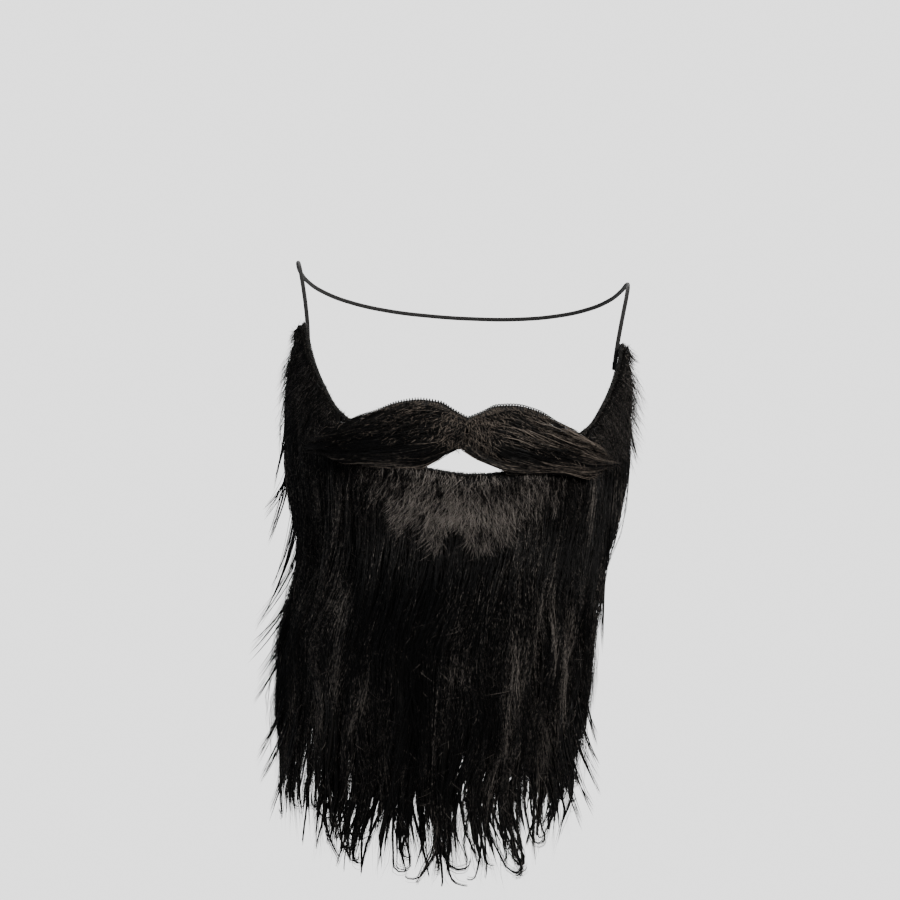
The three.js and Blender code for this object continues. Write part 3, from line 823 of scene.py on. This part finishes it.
class Locks:
    """Locks of the beard: strands gather towards the lock that they belong to. With lean above 1
    the locks lean further aside, each about as far as its neighbours"""

    def __init__(self, rng, angle, root, tip, layer, steps, size, gather=(0.45, 0.95), bunch=1.0,
                 lean=1.0):
        count = len(angle)
        self.rng = rng
        self.s = (1 - (1 - np.linspace(0, 1, steps)) ** bunch)[None, :]
        self.angle = angle
        self.root = root
        self.tip = np.minimum(tip, root - 12)
        self.layer = layer
        self.tone = rng.beta(1.0, 7, count)
        self.gather = rng.uniform(*gather, count)
        self.drift = rng.normal(0, 0.022, count)
        self.plain = fall_paths(self.angle, self.root, self.tip, self.layer, self.drift, self.s)
        self.swing = waves(rng, self.s, self.root - self.tip, size, 70)
        flare = smoothstep(angle, -0.05, 0.35) * (0.75 + 0.5 * (lean - 1))
        neighbours = lerp(1.1 * noise(6 * angle, 0 * angle, 26), 0.3, smoothstep(angle, 0.05, 0.35))
        shared = neighbours + rng.normal(0, 0.3, count)
        aside = FALL_ENDS("lean", angle) + flare + (lean - 1) * shared
        aside = aside * smoothstep(-self.tip, LEAN_FROM, 0.9 * BEARD_DROP)
        self.swing[..., 0] += aside[:, None] * TIP_LEAN * self.s ** (3 / lean)
        self.lift = np.zeros_like(self.swing[..., 0])

    def hook(self, share):
        """Curl the ends of a share of the locks round, in arcs a few millimetres across"""
        count = len(self.angle)
        curl = self.rng.random((count, 1)) < share
        size = self.rng.uniform(1.8, 4.5, (count, 1))
        turn = self.rng.uniform(1.4, 3.6, (count, 1))
        start = 1 - size * turn / (self.root - self.tip)[:, None]
        here = np.maximum(self.s - start, 0) / (1 - start) * turn
        way = np.sign(self.rng.normal(size=(count, 1)))
        self.swing[..., 0] += np.where(curl, way * size * (1 - np.cos(here)), 0)
        self.lift += np.where(curl, size * (here - np.sin(here)), 0)

    def strands(self, count, spread, drop_spread=7.0, fine=0.7):
        """Paths of a number of strands, and the tone of each"""
        rng, s = self.rng, self.s
        lock = rng.integers(0, len(self.angle), count)
        angle = np.clip(self.angle[lock] + rng.normal(0, spread, count), -0.995, 0.995)
        root = self.root[lock] + rng.normal(0, 5, count)
        root = np.minimum(root, pile_top(angle) - rng.uniform(0, 1.5, count))
        tip = np.minimum(self.tip[lock] + rng.normal(0, drop_spread, count), root - 8)
        layer = np.clip(self.layer[lock] + rng.normal(0, 0.07, count), 0.01, 1.12)
        paths = fall_paths(angle, root, tip, layer, self.drift[lock], s)
        lower = (tip - self.tip[lock])[:, None, None] * [0, 0, 1] * s[..., None]
        gather = self.gather[lock][:, None, None] * s[..., None] ** 1.3
        paths = lerp(paths, self.plain[lock] + lower, gather)
        swing = self.swing[lock] + waves(rng, s, root - tip, fine, 30)
        paths = swung(paths, angle, swing)
        paths[..., 2] += self.lift[lock]
        tone = np.clip(self.tone[lock] + rng.normal(0, 0.04, count), 0, 1)
        return not_too_low(paths), tone


# Painted highlights on locks and painted shade in hollows over the beard: the middle's x and z, half
# the width, half the drop and how much lighter or darker the strands are painted there
PAINTED_LIGHT_PATCHES = [
    (27, -107, 3.2, 18, 0.5),
    (51, -104, 2.8, 28, 0.5),
    (25.5, -133, 2.6, 14, 0.5),
    (20, -158, 3.0, 12, 0.5),
    (36, -82, 1.6, 15, 0.3),
    (-51, -80, 3.4, 12, 0.36),
    (-52, -112, 2.0, 12, 0.4),
    (-38, -58, 17, 14, -0.22),
    (-4, -108, 14, 22, -0.14),
]


def toned(paths, tone):
    """Tone along each strand, with painted highlights in streaks and locks, and painted shade in
    hollows, between locks and down the right side
    """
    x, z = paths[..., 0], paths[..., 2]
    patches = 0
    for middle, height, half_width, half_drop, change in PAINTED_LIGHT_PATCHES:
        within = np.exp(-(((x - middle) / half_width) ** 2) - ((z - height) / half_drop) ** 4)
        patches = patches + change * within
    # Streaks and patches of painted highlight, strongest low on the right side
    streak = np.clip(noise(x / 2.6 + noise(x / 15, z / 30, 8), z / 26, 9) - 0.12, 0, 1)
    # Painted shade down the right side, against the key light's sheen there
    shaded = 0.12 * smoothstep(x, 45, 62)
    highlight_weight = 0.35 + 1.0 * np.exp(-(((x - 28) / 23) ** 4) - ((z + 120) / 50) ** 4)
    patch = np.clip(0.5 + noise(x / 14, z / 30, 12), 0, 1) * highlight_weight
    own = np.clip(1.9 * np.sin(997.0 * tone[:, None]) ** 2, 0, 1.5)  # differs from strand to strand
    painted_light = 1.45 * streak * patch + patches
    # Painted shade in broad patches between the locks, away from the pale locks
    painted_depth_shade = 0.26 * smoothstep(noise(x / 15, z / 26, 14), -0.1, 0.5) * (1 - np.clip(2 * patches, 0, 1))
    return np.clip(tone[:, None] + 0.04 + painted_light * own - shaded - painted_depth_shade, -0.4, 1)


def add_long_hair(hair):
    """The long pile: locks over locks, each row ending in tips over the next"""
    rng = np.random.default_rng(11)

    def locks(count, reach, low, high, drop, layer, steps, size):
        angle = rng.uniform(-reach, reach, count)
        top = pile_top(angle)
        root = lerp(top, backing_edge("bottom", angle), rng.uniform(low, high, count))
        tip = lerp(top, tip_height(angle), rng.uniform(*drop, count))
        return Locks(rng, angle, root, tip, rng.uniform(*layer, count), steps, size)

    outer = locks(300, 0.97, 0.0, 0.5, (0.74, 0.97), (0.8, 0.98), 11, 4.4)
    for part in (1, 2):
        paths, tone = outer.strands(1800, 0.02)
        name = f"outer_strands_{part}"
        beard_strands(rng, name, paths, 0.1, 0.17, toned(paths, tone), hair, 20 + part)

    upper = locks(330, 0.97, 0.1, 0.6, (0.3, 0.8), (0.88, 1.02), 9, 3.8)
    paths, tone = upper.strands(2100, 0.016)
    beard_strands(rng, "upper_strands", paths, 0.09, 0.16, toned(paths, tone), hair, 24)

    inner = locks(200, 0.97, 0.6, 1.0, (0.72, 0.98), (0.0, 0.35), 9, 3.5)
    paths, tone = inner.strands(800, 0.03)
    beard_strands(rng, "inner_strands", paths, 0.14, 0.22, tone, hair, 30)


def lock_cores(name, locks, half_width, material):
    """The solid middle of pointed locks, along their guides"""
    paths = not_too_low(swung(locks.plain, locks.angle, locks.swing) + points(0, 0, locks.lift))
    count, steps, _ = paths.shape
    s = np.linspace(0, 1, steps)[None, :]
    taper = smoothstep(s, -0.2, 0.25) * (1 - s) ** 0.62
    return strand_piece(
        name, paths, half_width, np.zeros(count), material, "beard_hair", 60, thick=taper, flat=0.45)


def add_fringe(hair, mass):
    """The ends: a dense core of strands that run out, and pointed, partly curled locks past it"""
    rng = np.random.default_rng(13)
    count = 330
    angle = rng.uniform(-0.93, 0.93, count)
    tip = tip_height(angle)
    root = tip * rng.uniform(0.36, 0.52, count)
    core = Locks(rng, angle, root, tip * rng.uniform(0.86, 1.0, count), rng.uniform(0.1, 0.9, count),
                 8, 3.0, (0.6, 0.97), lean=1.5)
    lock_cores("fringe_cores", core, rng.uniform(1.5, 3.2, count), mass)
    paths, tone = core.strands(1500, 0.026)
    beard_strands(rng, "fringe_strands", paths, 0.14, 0.24, toned(paths, tone), hair, 31)

    count = 92
    angle = rng.uniform(-0.92, 0.9, count)
    tip = tip_height(angle) * rng.uniform(0.94, 1.04, count)
    root = tip * rng.uniform(0.4, 0.6, count)
    ends = Locks(rng, angle, root, tip, rng.uniform(0.3, 0.95, count), 17, 3.6, (0.92, 0.99), 2.1, 1.7)
    ends.hook(0.6)
    lock_cores("lock_ends", ends, rng.uniform(0.6, 1.2, count), mass)
    paths, tone = ends.strands(700, 0.011, 1.6, 0.4)
    beard_strands(rng, "fringe_ends", paths, 0.12, 0.2, tone, hair, 32)


def add_wisps(hair):
    """Thin pointed locks that stand off the sides"""
    rng = np.random.default_rng(15)
    s = np.linspace(0, 1, 9)[None, :, None]
    bunches = []
    for angle, root, x, z in WISPS:
        count = 12
        start = in_pile(angle + rng.normal(0, 0.01, count), root + rng.normal(0, 4, count), 0.8)
        end = np.array([x, start[:, 1].mean() - 6, z]) + rng.normal(0, 1, (count, 3)) * [0.3, 0.5, 2.5]
        bend = np.concatenate([s**1.8, s**1.2, s], axis=-1)
        bunches.append(start[:, None] + (end - start)[:, None] * bend)
    paths = np.concatenate(bunches)
    count = len(paths)
    tone = rng.beta(1.0, 14, count)
    radius = rng.uniform(0.15, 0.24, count)
    radius[::4] *= 2.6  # hairs stuck together
    strand_piece("side_wisps", paths, radius, tone, hair, "beard_hair", 33, 0.5)


def pile_paths(rng, angle, root, length, low, high, slant, steps, curl=1.0):
    """Short hairs that lie along the pile's surface and rise off it, slanting to either side"""
    s = np.linspace(0, 1, steps)[None, :]
    height = root[:, None] - length[:, None] * s * np.cos(slant)[:, None]
    aside = length[:, None] * s * np.sin(slant)[:, None] / EAR_HALF_SPAN
    depth = lerp(low[:, None], high[:, None], s**1.2)
    paths = combed(np.clip(angle[:, None] + aside, -1, 1), height, depth)
    return swung(paths, angle, waves(rng, s, length, curl, 12))


# How far the short pile under the mouth fans out to either side, in radians
CHIN_FAN = Table(
    ("angle", "slant"),
    (-0.44, -0.1),
    (-0.25, -0.42),
    (-0.1, -0.36),
    (0, -0.05),
    (0.08, 0.25),
    (0.2, 0.12),
    (0.44, 0),
)


def add_chin_pile(hair):
    """Short pile under the mouth, lighter with painted sheen, parted by narrow gaps of painted shade
    and ending in tongues
    """
    rng = np.random.default_rng(14)
    count = 5400
    angle = rng.normal(0, 0.2, count)
    anywhere = rng.uniform(-CHIN_REACH, CHIN_REACH, count)
    angle = np.where(np.abs(angle) > CHIN_REACH, anywhere, angle)
    tongues = 6 * noise(angle * 30, 0 * angle, 21) + 5 * noise(angle * 70, 0 * angle, 23)
    low = lerp(-50, -29, smoothstep(np.abs(angle + 0.03), 0.08, 0.33)) + tongues
    root = lerp(pile_top(angle), low, rng.random(count) ** 0.85)
    fan = CHIN_FAN("slant", angle) * smoothstep(-root, 20, 40)
    slant = fan + 0.2 * noise(angle * 11, root / 12, 22) + rng.normal(0, 0.2, count)
    low, high = rng.uniform(0.8, 1.0, count), rng.uniform(1.02, 1.24, count)
    paths = pile_paths(rng, angle, root, rng.uniform(2.5, 6.5, count), low, high, slant, 4, 0.5)
    across = 1.9 * EAR_HALF_SPAN * angle + np.tan(fan) * root
    # Narrow gaps of painted shade between the clumps
    gaps = smoothstep(noise(across / 1.3, root / 9, 25), 0.2, 0.55)
    clump = 0.25 * noise(across / 2.0, root / 12, 24)
    # Painted sheen: lighter in the middle of the chin and lower down, where the pile faces the key
    # light
    tone = 0.56 + 0.36 * smoothstep(-root, 24, 38) - 0.6 * (angle / CHIN_REACH) ** 2
    tone = np.clip(tone + clump - 0.7 * gaps + rng.normal(0, 0.5, count), 0, 1)
    beard_strands(rng, "chin_pile", paths, 0.06, 0.11, tone, hair, 34)


def add_short_pile(hair):
    """Short pile over the cheeks and sideburns, and loose fibre over the whole beard"""
    rng = np.random.default_rng(17)
    count = 3000
    angle = np.sign(rng.normal(size=count)) * rng.uniform(0.4, 0.995, count)
    edge = pile_top(angle)
    at_edge = rng.random(count) < 0.35
    below = np.where(at_edge, rng.uniform(-0.2, 2.5, count), rng.exponential(11, count))
    root = np.maximum(edge - below, backing_edge("bottom", angle) + 1)
    on_side = smoothstep(root, -10, 10)
    longer = rng.uniform(6, 15, count) + 8 * on_side
    length = np.where(below < 2.5, rng.uniform(3.5, 7, count), longer)
    slant = rng.normal(0, 0.5, count) * (1 - 0.6 * on_side) + np.sign(angle) * 0.25
    up = (below < 2.5) & (rng.random(count) < 0.3 - 0.2 * on_side)
    slant = np.where(up, rng.uniform(-2.2, 2.2, count), slant)
    high = (1.15 + on_side * np.where(angle > 0, 1.0, 0.6)) * rng.uniform(0.6, 1.1, count)
    paths = pile_paths(rng, angle, root, length, rng.uniform(0.3, 0.8, count), high, slant, 5, 1.2)
    # Painted light: lighter on the side towards the key light
    tone = rng.beta(1.2, 6, count) + np.where(angle > 0, 0.12, 0.03)
    beard_strands(rng, "cheek_pile", paths, 0.08, 0.14, tone, hair, 35)

    count = 1500
    angle = rng.uniform(-0.9, 0.9, count)
    root = lerp(pile_top(angle), tip_height(angle), rng.uniform(0.12, 0.86, count))
    length = rng.uniform(2, 6, count)
    paths = pile_paths(
        rng, angle, root, length, rng.uniform(0.92, 1.0, count), rng.uniform(1.0, 1.08, count),
        rng.normal(0, 0.6, count), 4, 1.2)
    tone = rng.beta(1.3, 2, count)
    beard_strands(rng, "loose_fibre", paths, 0.07, 0.11, tone, hair, 36)


def short_hairs(start, direction, length, bend, steps):
    """Hairs that leave their start in a direction and are bent the other way towards their tips"""
    s = np.linspace(0, 1, steps)[None, :, None]
    straight = (unit(direction) * length[:, None])[:, None] * s
    return start[:, None] + straight - (bend * length[:, None])[:, None] * s**2


def add_edge_fuzz(hair):
    """Very short hairs that hide the cloth's upper edge round the face"""
    rng = np.random.default_rng(16)
    count = 3400
    u = np.where(rng.random(count) < 0.2, rng.uniform(-0.18, 0.18, count),
                 np.sign(rng.normal(size=count)) * rng.uniform(0.44, 0.97, count))
    start = backing_place(u, rng.uniform(0.985, 1.0, count), rng.uniform(-0.1, 1.1, count))
    out = outward(u, 0 * u)
    rise = points(0, 0, rng.normal(0.1, 0.5, count))
    direction = out * rng.uniform(-0.2, 0.9, count)[:, None] + rise
    direction = direction - sideways(out) * (np.sign(u) * rng.normal(0.35, 0.5, count))[:, None]
    paths = short_hairs(start, direction, rng.uniform(1.0, 2.6, count), points(0, 0, 0.3), 3)
    tone = rng.beta(1.2, 4, count)
    beard_strands(rng, "edge_fuzz", paths, 0.12, 0.18, tone, hair, 37)


def add_beard_hair():
    dark, middle = (0.001, 0.001, 0.0012), (0.0075, 0.007, 0.007)
    hair = hair_material("beard_strands", dark, middle, (0.23, 0.205, 0.185), 0.44)
    # The chin pile's lighter colour is painted sheen
    sheen_hair = hair_material("chin_strands", dark, middle, (0.37, 0.332, 0.303), 0.42)
    mass = mass_material()

    def place(u, v, depth):
        angle = u * 0.985
        top = pile_top(angle) - 0.6
        ragged = 0.97 + 0.03 * noise(40 * angle, 0 * angle, 5) + 0.02 * noise(95 * angle, 0 * angle, 6)
        bottom = -FALL_ENDS("body", angle) * BEARD_DROP * ragged
        height = lerp(bottom, top, v)
        ridge = noise(38 * angle, height / 34, 7) + 0.6 * noise(80 * angle, height / 22, 10)
        grow = smoothstep(top - height, 2, 30)
        level = lerp(0.04, 0.78 + 0.07 * ridge * grow, depth)
        near_tip = smoothstep(height - bottom, 0, 22)
        return combed(angle, height, lerp(0.45, level, 0.12 + 0.88 * near_tip))

    packed = wall_piece("packed_beard_hair", place, 220, 46, mass, "beard_hair")
    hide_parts("beard_hair")
    add_long_hair(hair)
    add_fringe(hair, mass)
    add_wisps(hair)
    add_chin_pile(sheen_hair)
    add_short_pile(hair)
    add_edge_fuzz(hair)


def wing_paths(side, start, end, lane, last_lane, droop, level, steps):
    """Strands along a wing of the moustache, from lane to lane, drooping over the mouth's corner"""
    s = np.linspace(0, 1, steps)[None, :]
    along = lerp(start[:, None], end[:, None], s)
    across = lerp(lane[:, None], last_lane[:, None], smoothstep(s, -0.25, 0.85))
    across = across - droop[:, None] * np.exp(-(((along - 0.27) / 0.2) ** 2))
    return on_wing(side, along, across, level[:, None] * smoothstep(s, -0.4, 0.2))


# Painted shade in the wings' hollows: the middle's x and z, half the width and half the height
WING_PAINTED_SHADE = [
    (38, -8.8, 13, 4),
    (24, -9.5, 6, 2),
    (-44, -9, 24, 4),
]


def hollow_shade(paths):
    """How much painted shade darkens the moustache at each point of its strands, from 0 to 1"""
    shade = 0
    for middle, height, half_width, half_height in WING_PAINTED_SHADE:
        aside, above = paths[..., 0] - middle, paths[..., 2] - height
        shade = shade + np.exp(-((aside / half_width) ** 2) - (above / half_height) ** 2)
    return np.minimum(shade, 1)


def moustache_strands(rng, side):
    """Long strands swept from the parting and the upper edge down to the lower edge and outward"""
    count, locks, steps = 1100, 75, 9
    lock = rng.integers(0, locks, count)
    first = rng.beta(0.9, 1.5, locks) * 0.84
    lane = rng.uniform(-0.9, 0.9, locks)
    reach = lerp(0.6, 0.3, (lane + 1) / 2) * rng.uniform(0.75, 1.2, locks)
    last_lane = lerp(-0.95, 0.66, (lane + 1) / 2) - 0.3 * (1 - smoothstep(first, 0, 0.3))
    last = np.minimum(first + reach, 1.08 + rng.normal(0, 0.05, locks))
    start = np.clip(first[lock] + rng.normal(0, 0.03, count), -0.01, 0.95)
    end = np.maximum(last[lock] + rng.normal(0, 0.035, count), start + 0.12)
    lane_here = np.clip(lane[lock] + rng.normal(0, 0.13, count), -0.92, 1)
    last_here = np.clip(last_lane[lock] + rng.normal(0, 0.06, count), -0.98, 1)
    level = np.clip(0.5 + 0.5 * start + rng.normal(0, 0.16, count), 0.2, 1.15)
    droop = 0.42 * smoothstep(-last_here, 0.2, 0.85) * rng.uniform(0.4, 1, count)
    paths = wing_paths(side, start, end, lane_here, last_here, droop, level, steps)
    s = np.linspace(0, 1, steps)[None, :]
    sway = waves(rng, s, np.full(locks, 40.0), 1.1, 36)[lock]
    sway = sway + waves(rng, s, np.full(count, 35.0), 0.3, 18)
    out = outward(side * WING_SECTIONS("angle", start), 0 * start)[:, None]
    paths = paths + out * sway[..., 1:] + sway[..., :1] * [0, 0, 1]
    # Painted highlight: lighter on the wing towards the key light and along the lower edge
    painted_highlight = 0.3 * smoothstep(side * start, 0.05, 0.6) + 0.22 * smoothstep(-last_here, 0.5, 0.9)
    tone = 0.3 * rng.beta(1.0, 4.0, locks)[lock] + 1.7 * rng.beta(0.4, 4.0, count) + painted_highlight
    # Painted shade on the wing away from the key light
    painted_shade = 1 - 0.3 * smoothstep(-side * start, 0.12, 0.45)
    return paths, np.clip(tone * painted_shade + 0.05, 0, 1)


# Height of the moustache's lowest strands over the mouth, by signed angle
MOUTH_EDGE = Table(
    ("angle", "height"),
    (-0.33, -15.5),
    (-0.24, -16.4),
    (-0.135, -16.2),
    (-0.073, -12.9),
    (-0.027, -10.3),
    (0.028, -13.0),
    (0.073, -15.1),
    (0.11, -16.6),
    (0.14, -17.4),
    (0.236, -17.6),
    (0.33, -16.4),
)


def mouth_strands(rng, side):
    """Strands from the parting that hang past the cloth and line the mouth"""
    count, steps = 150, 9
    s = np.linspace(0, 1, steps)[None, :]
    start = np.where(side > 0, rng.uniform(-0.036, 0.02, count), rng.uniform(-0.03, -0.012, count))
    end = side * rng.uniform(0.14, 0.38, count)
    angle = lerp(start[:, None], end[:, None], s**1.15)
    above = 4.2 * rng.beta(1.0, 1.6, count)[:, None]
    height = MOUTH_EDGE("height", angle) + above
    root = rng.uniform(-6.5, -1, count)[:, None]
    height = lerp(root, height, smoothstep(s, -0.12, 0.22))
    level = rng.uniform(0.3, 3.2, count)[:, None] * smoothstep(s, -0.5, 0.3)
    paths = off_skin(angle, height, WING_FLOOR + level)
    sway = waves(rng, s, np.full(count, 30.0), 0.35, 20)
    paths = paths + sway[..., :1] * [0, 0, 1]
    # The 0.1 * side term is painted light: lighter on the side towards the key light
    tone = 0.08 + 0.1 * side + 1.5 * rng.beta(0.5, 4.0, count)
    return paths, np.clip(tone, 0, 1)


def moustache_fuzz(rng, side):
    """Short hairs from the strip's upper edge and the wing's upper half, felted over the parting"""
    count = 1500
    edge = rng.random(count) < 0.5
    anywhere = rng.beta(1.0, 1.25, count) * 0.95
    along = np.where(rng.random(count) < 0.3, rng.uniform(0, 0.18, count), anywhere)
    angle = side * np.where(edge, rng.uniform(0, STRIP_END, count), WING_SECTIONS("angle", along))
    lane = np.where(along < 0.18, rng.uniform(-1, 1, count), rng.uniform(-0.35, 0.98, count))
    on_edge = strip_place(angle / STRIP_END, rng.uniform(0.82, 0.99, count), 1 + 0 * angle)
    start = np.where(edge[:, None], on_edge, on_wing(side, along, lane, 0.85 + 0 * lane))
    out = outward(angle, 0 * angle)
    across = sideways(out) * side
    drop = 0.75 - 1.1 * np.abs(angle) + rng.normal(0, 0.3, count)
    near = lerp(0.25, 0.9, smoothstep(np.abs(angle), 0, 0.1))
    direction = across * (near + rng.normal(0, 0.5, count))[:, None]
    direction = direction + out * rng.uniform(0.15, 0.6, count)[:, None] - points(0, 0, drop)
    paths = short_hairs(start, direction, rng.uniform(2, 5, count), 0.3 * out, 4)
    near_notch = np.exp(-(((np.abs(angle) - 0.08) / 0.08) ** 2))
    # The 0.1 * side term is painted light: lighter on the wing towards the key light
    tone = 0.36 + 0.1 * side + 0.15 * lane + 0.24 * near_notch + rng.normal(0, 0.3, count)
    return paths, np.clip(tone, 0, 1)


def add_moustache():
    tones = (0.0013, 0.0012, 0.0013), (0.0115, 0.0102, 0.0092), (0.26, 0.215, 0.178)
    hair = hair_material("moustache_fuzz", *tones, 0.42)
    combed_hair = hair_material("moustache_strands", *tones, 0.42, (600, 600, 1800), 0.8)
    mass = bpy.data.materials["packed_hair"]
    for side, label in ((1, "left"), (-1, "right")):
        rng = np.random.default_rng(40 + side)

        def place(u, v, depth):
            along = 0.01 + 0.96 * (side * u + 1) / 2
            across = (2 * v - 1) * 0.94
            streak = noise(across * 9, along * 7, 50) * (1 - np.abs(across) ** 4)
            level = (0.68 + 0.07 * streak) * (1 - 0.85 * smoothstep(across, 0.55, 0.95))
            return on_wing(side, along, across, 0.02 + level * depth)

        packed = wall_piece(f"packed_moustache_hair_{label}", place, 44, 24, mass, "moustache_hair")
        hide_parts(f"moustache_hair_{label}")
        paths, tone = moustache_strands(rng, side)
        hanging, hanging_tone = mouth_strands(rng, side)
        paths, tone = np.concatenate([paths, hanging]), np.concatenate([tone, hanging_tone])
        radius = rng.uniform(0.1, 0.16, len(paths)) + 0.06 * tone
        # Painted shade in the wings' hollows darkens the strands there
        shade = hollow_shade(paths)
        tone = np.clip(tone[:, None] * (1 - 0.9 * shade) - 0.08 * shade, 0, 1)
        strand_piece(f"moustache_strands_{label}", paths, radius, tone, combed_hair,
                     "moustache_hair", 50 + side)
        paths, tone = moustache_fuzz(rng, side)
        strand_piece(f"moustache_fuzz_{label}", paths, rng.uniform(0.08, 0.13, len(paths)), tone,
                     hair, "moustache_hair", 60 + side)


def add_light(name, place, size, power, color=(1, 1, 1), aim=(0, 0, -0.06)):
    data = bpy.data.lights.new(name, "AREA")
    data.shape = "DISK"
    data.size = size
    data.energy = power
    data.color = color
    light = add_object(name, data)
    light.location = place
    light.rotation_euler = (Vector(place) - Vector(aim)).to_track_quat("Z", "Y").to_euler()


def add_studio():
    world = bpy.data.worlds.new("studio")
    bpy.context.scene.world = world
    world.use_nodes = True
    nodes, links = world.node_tree.nodes, world.node_tree.links
    around = nodes["Background"]
    around.inputs["Color"].default_value = (0.9, 0.95, 1, 1)
    around.inputs["Strength"].default_value = 0.09
    seen = nodes.new("ShaderNodeBackground")
    seen.inputs["Color"].default_value = (1, 1, 1, 1)
    seen.inputs["Strength"].default_value = 2.2
    mix = nodes.new("ShaderNodeMixShader")
    links.new(nodes.new("ShaderNodeLightPath").outputs["Is Camera Ray"], mix.inputs[0])
    links.new(around.outputs[0], mix.inputs[1])
    links.new(seen.outputs[0], mix.inputs[2])
    links.new(mix.outputs[0], nodes["World Output"].inputs[0])

    bpy.ops.mesh.primitive_circle_add(vertices=96, radius=2.5, fill_type="NGON", location=(0, 0, -0.75))
    floor = bpy.context.object
    floor.name = "floor"
    m = Nodes("pale_floor")
    m.shader.inputs["Base Color"].default_value = (0.82, 0.82, 0.83, 1)
    m.shader.inputs["Roughness"].default_value = 0.8
    floor.data.materials.append(m.material)

    add_light("key", (0.8, -1.3, 1.0), 0.55, 30, (1, 0.97, 0.93))
    add_light("fill", (-1.3, -1.2, 0.3), 1.2, 7, (0.93, 0.97, 1))
    add_light("behind", (0.2, 1.6, 1.0), 0.8, 16)


add_camera()
add_elastic()
add_cloth()
add_beard_hair()
add_moustache()
add_studio()
